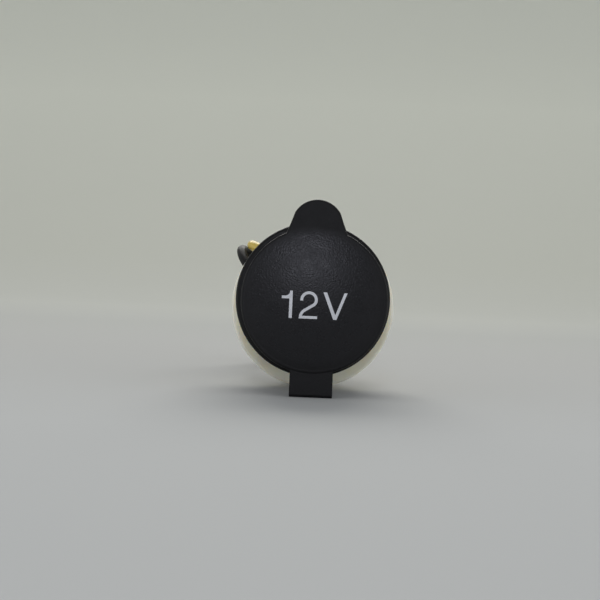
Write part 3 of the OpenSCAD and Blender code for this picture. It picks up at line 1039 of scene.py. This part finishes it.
    def hinge_film(self) -> None:
        """Makes the thin film of the lid's own plastic between the strap and the web behind it."""
        shape = bmesh.new()
        bmesh.ops.create_cube(shape, size=1.0)
        size = (self.strap_w, 2 * self.film_reach, self.film)
        bmesh.ops.scale(shape, verts=shape.verts, vec=size)
        place = (self.right, self.hinge_y, self.hinge_z + self.film / 2)
        bmesh.ops.translate(shape, verts=shape.verts, vec=place)
        lengthways = [
            e for e in shape.edges if abs(e.verts[0].co.y - e.verts[1].co.y) > self.film_reach
        ]
        bmesh.ops.subdivide_edges(
            shape, edges=lengthways, cuts=self.film_cuts, use_grid_fill=True
        )
        obj = new_piece("hinge_film", shape, LID_ELASTOMER)
        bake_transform(obj)

    def make(self, nodes: dict[str, bpy.types.Object]) -> None:
        """Dresses the lid and its collar, and adds the rating and the hinge.

        Args:
            nodes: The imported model's pieces, by name.
        """
        dress(nodes["cap"], LID_ELASTOMER)
        dress(nodes["strap_collar"], LID_ELASTOMER)
        self.rating_print()
        self.hinge_film()


@dataclass
class Housing:
    """The threaded housing and the ring nut on it."""

    root_r: float = 13.8 * MM
    crest_r: float = 14.5 * MM
    pitch: float = 2.0 * MM
    start_y: float = 2.6 * MM
    end_y: float = 34.6 * MM
    ridge_w: float = 1.15 * MM
    crest_w: float = 0.45 * MM
    sink: float = 0.15 * MM
    run_out: float = 0.3 * MM
    steps_per_turn: int = 96
    slot_y: float = 27.0 * MM
    tongue_w: float = 5.0 * MM
    slot_w: float = 1.0 * MM
    shoulder: float = 0.3 * MM
    play: float = 0.01 * MM
    sharp_deg: float = 25.0

    @property
    def turns(self) -> float:
        """How many turns the thread has."""
        return (self.end_y - self.start_y) / self.pitch

    @property
    def slot_edges(self) -> tuple[float, float]:
        """How far the two edges of a slot beside a latch tongue lie from the tongue's middle."""
        return (self.tongue_w / 2, self.tongue_w / 2 + self.slot_w)

    def tube(self, node: bpy.types.Object) -> None:
        """Makes the moulding with a plain tube, which carries the real, helical thread.

        Args:
            node: The housing as the solids draw it, with rings for its thread.
        """
        shape = bmesh.new()
        shape.from_mesh(node.data)
        bmesh.ops.remove_doubles(shape, verts=shape.verts, dist=MERGE)
        for vert in shape.verts:
            reach = math.hypot(vert.co.x, vert.co.z)
            if vert.co.y < self.start_y - self.shoulder or reach < self.root_r + self.play:
                continue
            # Near the tongues the points move only up or down, so that the slots' walls stay flat.
            if abs(vert.co.x) < self.tongue_w:
                vert.co.z = math.copysign(math.sqrt(self.root_r**2 - vert.co.x**2), vert.co.z)
            else:
                vert.co.x *= self.root_r / reach
                vert.co.z *= self.root_r / reach
        bmesh.ops.dissolve_degenerate(shape, dist=MERGE, edges=shape.edges)
        obj = new_piece("housing_moulding", shape, HOUSING_NYLON)
        obj.data.shade_smooth()
        obj.data.set_sharp_from_angle(angle=math.radians(self.sharp_deg))
        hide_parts(node.name)
        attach(obj, Body.SOCKET.value)

    def ridge(self) -> bmesh.types.BMesh:
        """Spins the thread's ridge along the tube and tapers it at both ends.

        Returns:
            The ridge, unbroken.
        """
        shape = bmesh.new()
        low = self.root_r - self.sink
        section = (
            (low, -self.ridge_w / 2),
            (self.crest_r, -self.crest_w / 2),
            (self.crest_r, self.crest_w / 2),
            (low, self.ridge_w / 2),
        )
        face = shape.faces.new([shape.verts.new((r, self.start_y + y, 0)) for r, y in section])
        steps = round(self.turns * self.steps_per_turn)
        bmesh.ops.spin(
            shape,
            geom=[face],
            cent=(0, 0, 0),
            axis=(0, 1, 0),
            dvec=(0, (self.end_y - self.start_y) / steps, 0),
            angle=2 * math.pi * self.turns,
            steps=steps,
            use_duplicate=False,
        )
        bmesh.ops.remove_doubles(shape, verts=shape.verts, dist=MERGE)
        for vert in shape.verts:
            reach = math.hypot(vert.co.x, vert.co.z)
            from_end = min(vert.co.y - self.start_y, self.end_y - vert.co.y)
            height = (reach - low) * min(1.0, max(0.0, from_end / self.run_out))
            vert.co.x *= (low + height) / reach
            vert.co.z *= (low + height) / reach
        return shape

    def in_slot(self, face: bmesh.types.BMFace) -> bool:
        """Tells whether a face of the thread lies over a slot beside a latch tongue.

        Args:
            face: The face.

        Returns:
            Whether it does.
        """
        middle = face.calc_center_median()
        inner, outer = self.slot_edges
        return middle.y > self.slot_y and inner < abs(middle.x) < outer

    def thread(self) -> None:
        """Lays the thread on the tube and cuts it where the latch slots are."""
        shape = self.ridge()
        for side in (-1, 1):
            for reach in self.slot_edges:
                behind = [
                    f for f in shape.faces if max(v.co.y for v in f.verts) > self.slot_y
                ]
                edges = dict.fromkeys(e for f in behind for e in f.edges)
                verts = dict.fromkeys(v for f in behind for v in f.verts)
                bmesh.ops.bisect_plane(
                    shape,
                    geom=[*behind, *edges, *verts],
                    plane_co=(side * reach, 0, 0),
                    plane_no=(1, 0, 0),
                )
        over_slots = [f for f in shape.faces if self.in_slot(f)]
        bmesh.ops.delete(shape, geom=over_slots, context="FACES")
        open_edges = [e for e in shape.edges if e.is_boundary]
        bmesh.ops.holes_fill(shape, edges=open_edges, sides=0)
        bmesh.ops.recalc_face_normals(shape, faces=shape.faces)
        obj = new_piece("housing_thread", shape, HOUSING_NYLON)
        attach(obj, Body.SOCKET.value)
        log.info("%s: %.0f turns", obj.name, self.turns)

    def make(self, nodes: dict[str, bpy.types.Object]) -> None:
        """Makes the housing and its thread, and dresses the nut.

        Args:
            nodes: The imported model's pieces, by name.
        """
        self.tube(nodes["bezel_housing"])
        self.thread()
        dress(nodes["ring_nut"], NATURAL_NYLON)


@dataclass
class Contacts:
    """The barrel, the contacts and the terminals behind it."""

    def make(self, nodes: dict[str, bpy.types.Object]) -> None:
        """Dresses each piece of the electrical part.

        Args:
            nodes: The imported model's pieces, by name.
        """
        finishes = {
            "barrel": PLATED_STEEL,
            "base_insulator": CUP_UREA,
            "contact_washer": PLATED_STEEL,
            "centre_contact": STAMPED_BRASS,
            "rear_insulator": FIBRE_BOARD,
            "positive_blade": STAMPED_BRASS,
            "ground_blade": STAMPED_BRASS,
            "ground_rivet": PLATED_STEEL,
            "positive_receptacle": STAMPED_BRASS,
            "ground_receptacle": STAMPED_BRASS,
            "positive_boot": YELLOW_PVC,
            "ground_boot": BLACK_PVC,
        }
        for name, finish in finishes.items():
            dress(nodes[name], finish)


@dataclass
class Plug:
    """The two-way plug on the leads."""

    def make(self, nodes: dict[str, bpy.types.Object]) -> None:
        """Dresses the plug's housing, latch, seals and contacts.

        Args:
            nodes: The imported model's pieces, by name.
        """
        dress(nodes["plug_housing"], HOUSING_NYLON)
        dress(nodes["plug_latch"], HOUSING_NYLON)
        dress(nodes["plug_seals"], ORANGE_SILICONE)
        dress(nodes["plug_contacts"], STAMPED_BRASS)


def main() -> None:
    """Loads the frame, sets the view, and builds the leads and then each other sub-assembly."""
    logging.basicConfig(level=logging.INFO, format="%(name)s: %(message)s")
    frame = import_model()
    nodes = frame["nodes"]
    View().make()
    Leads().make(nodes)
    Lid().make(nodes)
    Housing().make(nodes)
    Contacts().make(nodes)
    Plug().make(nodes)


if __name__ == "__main__":
    main()
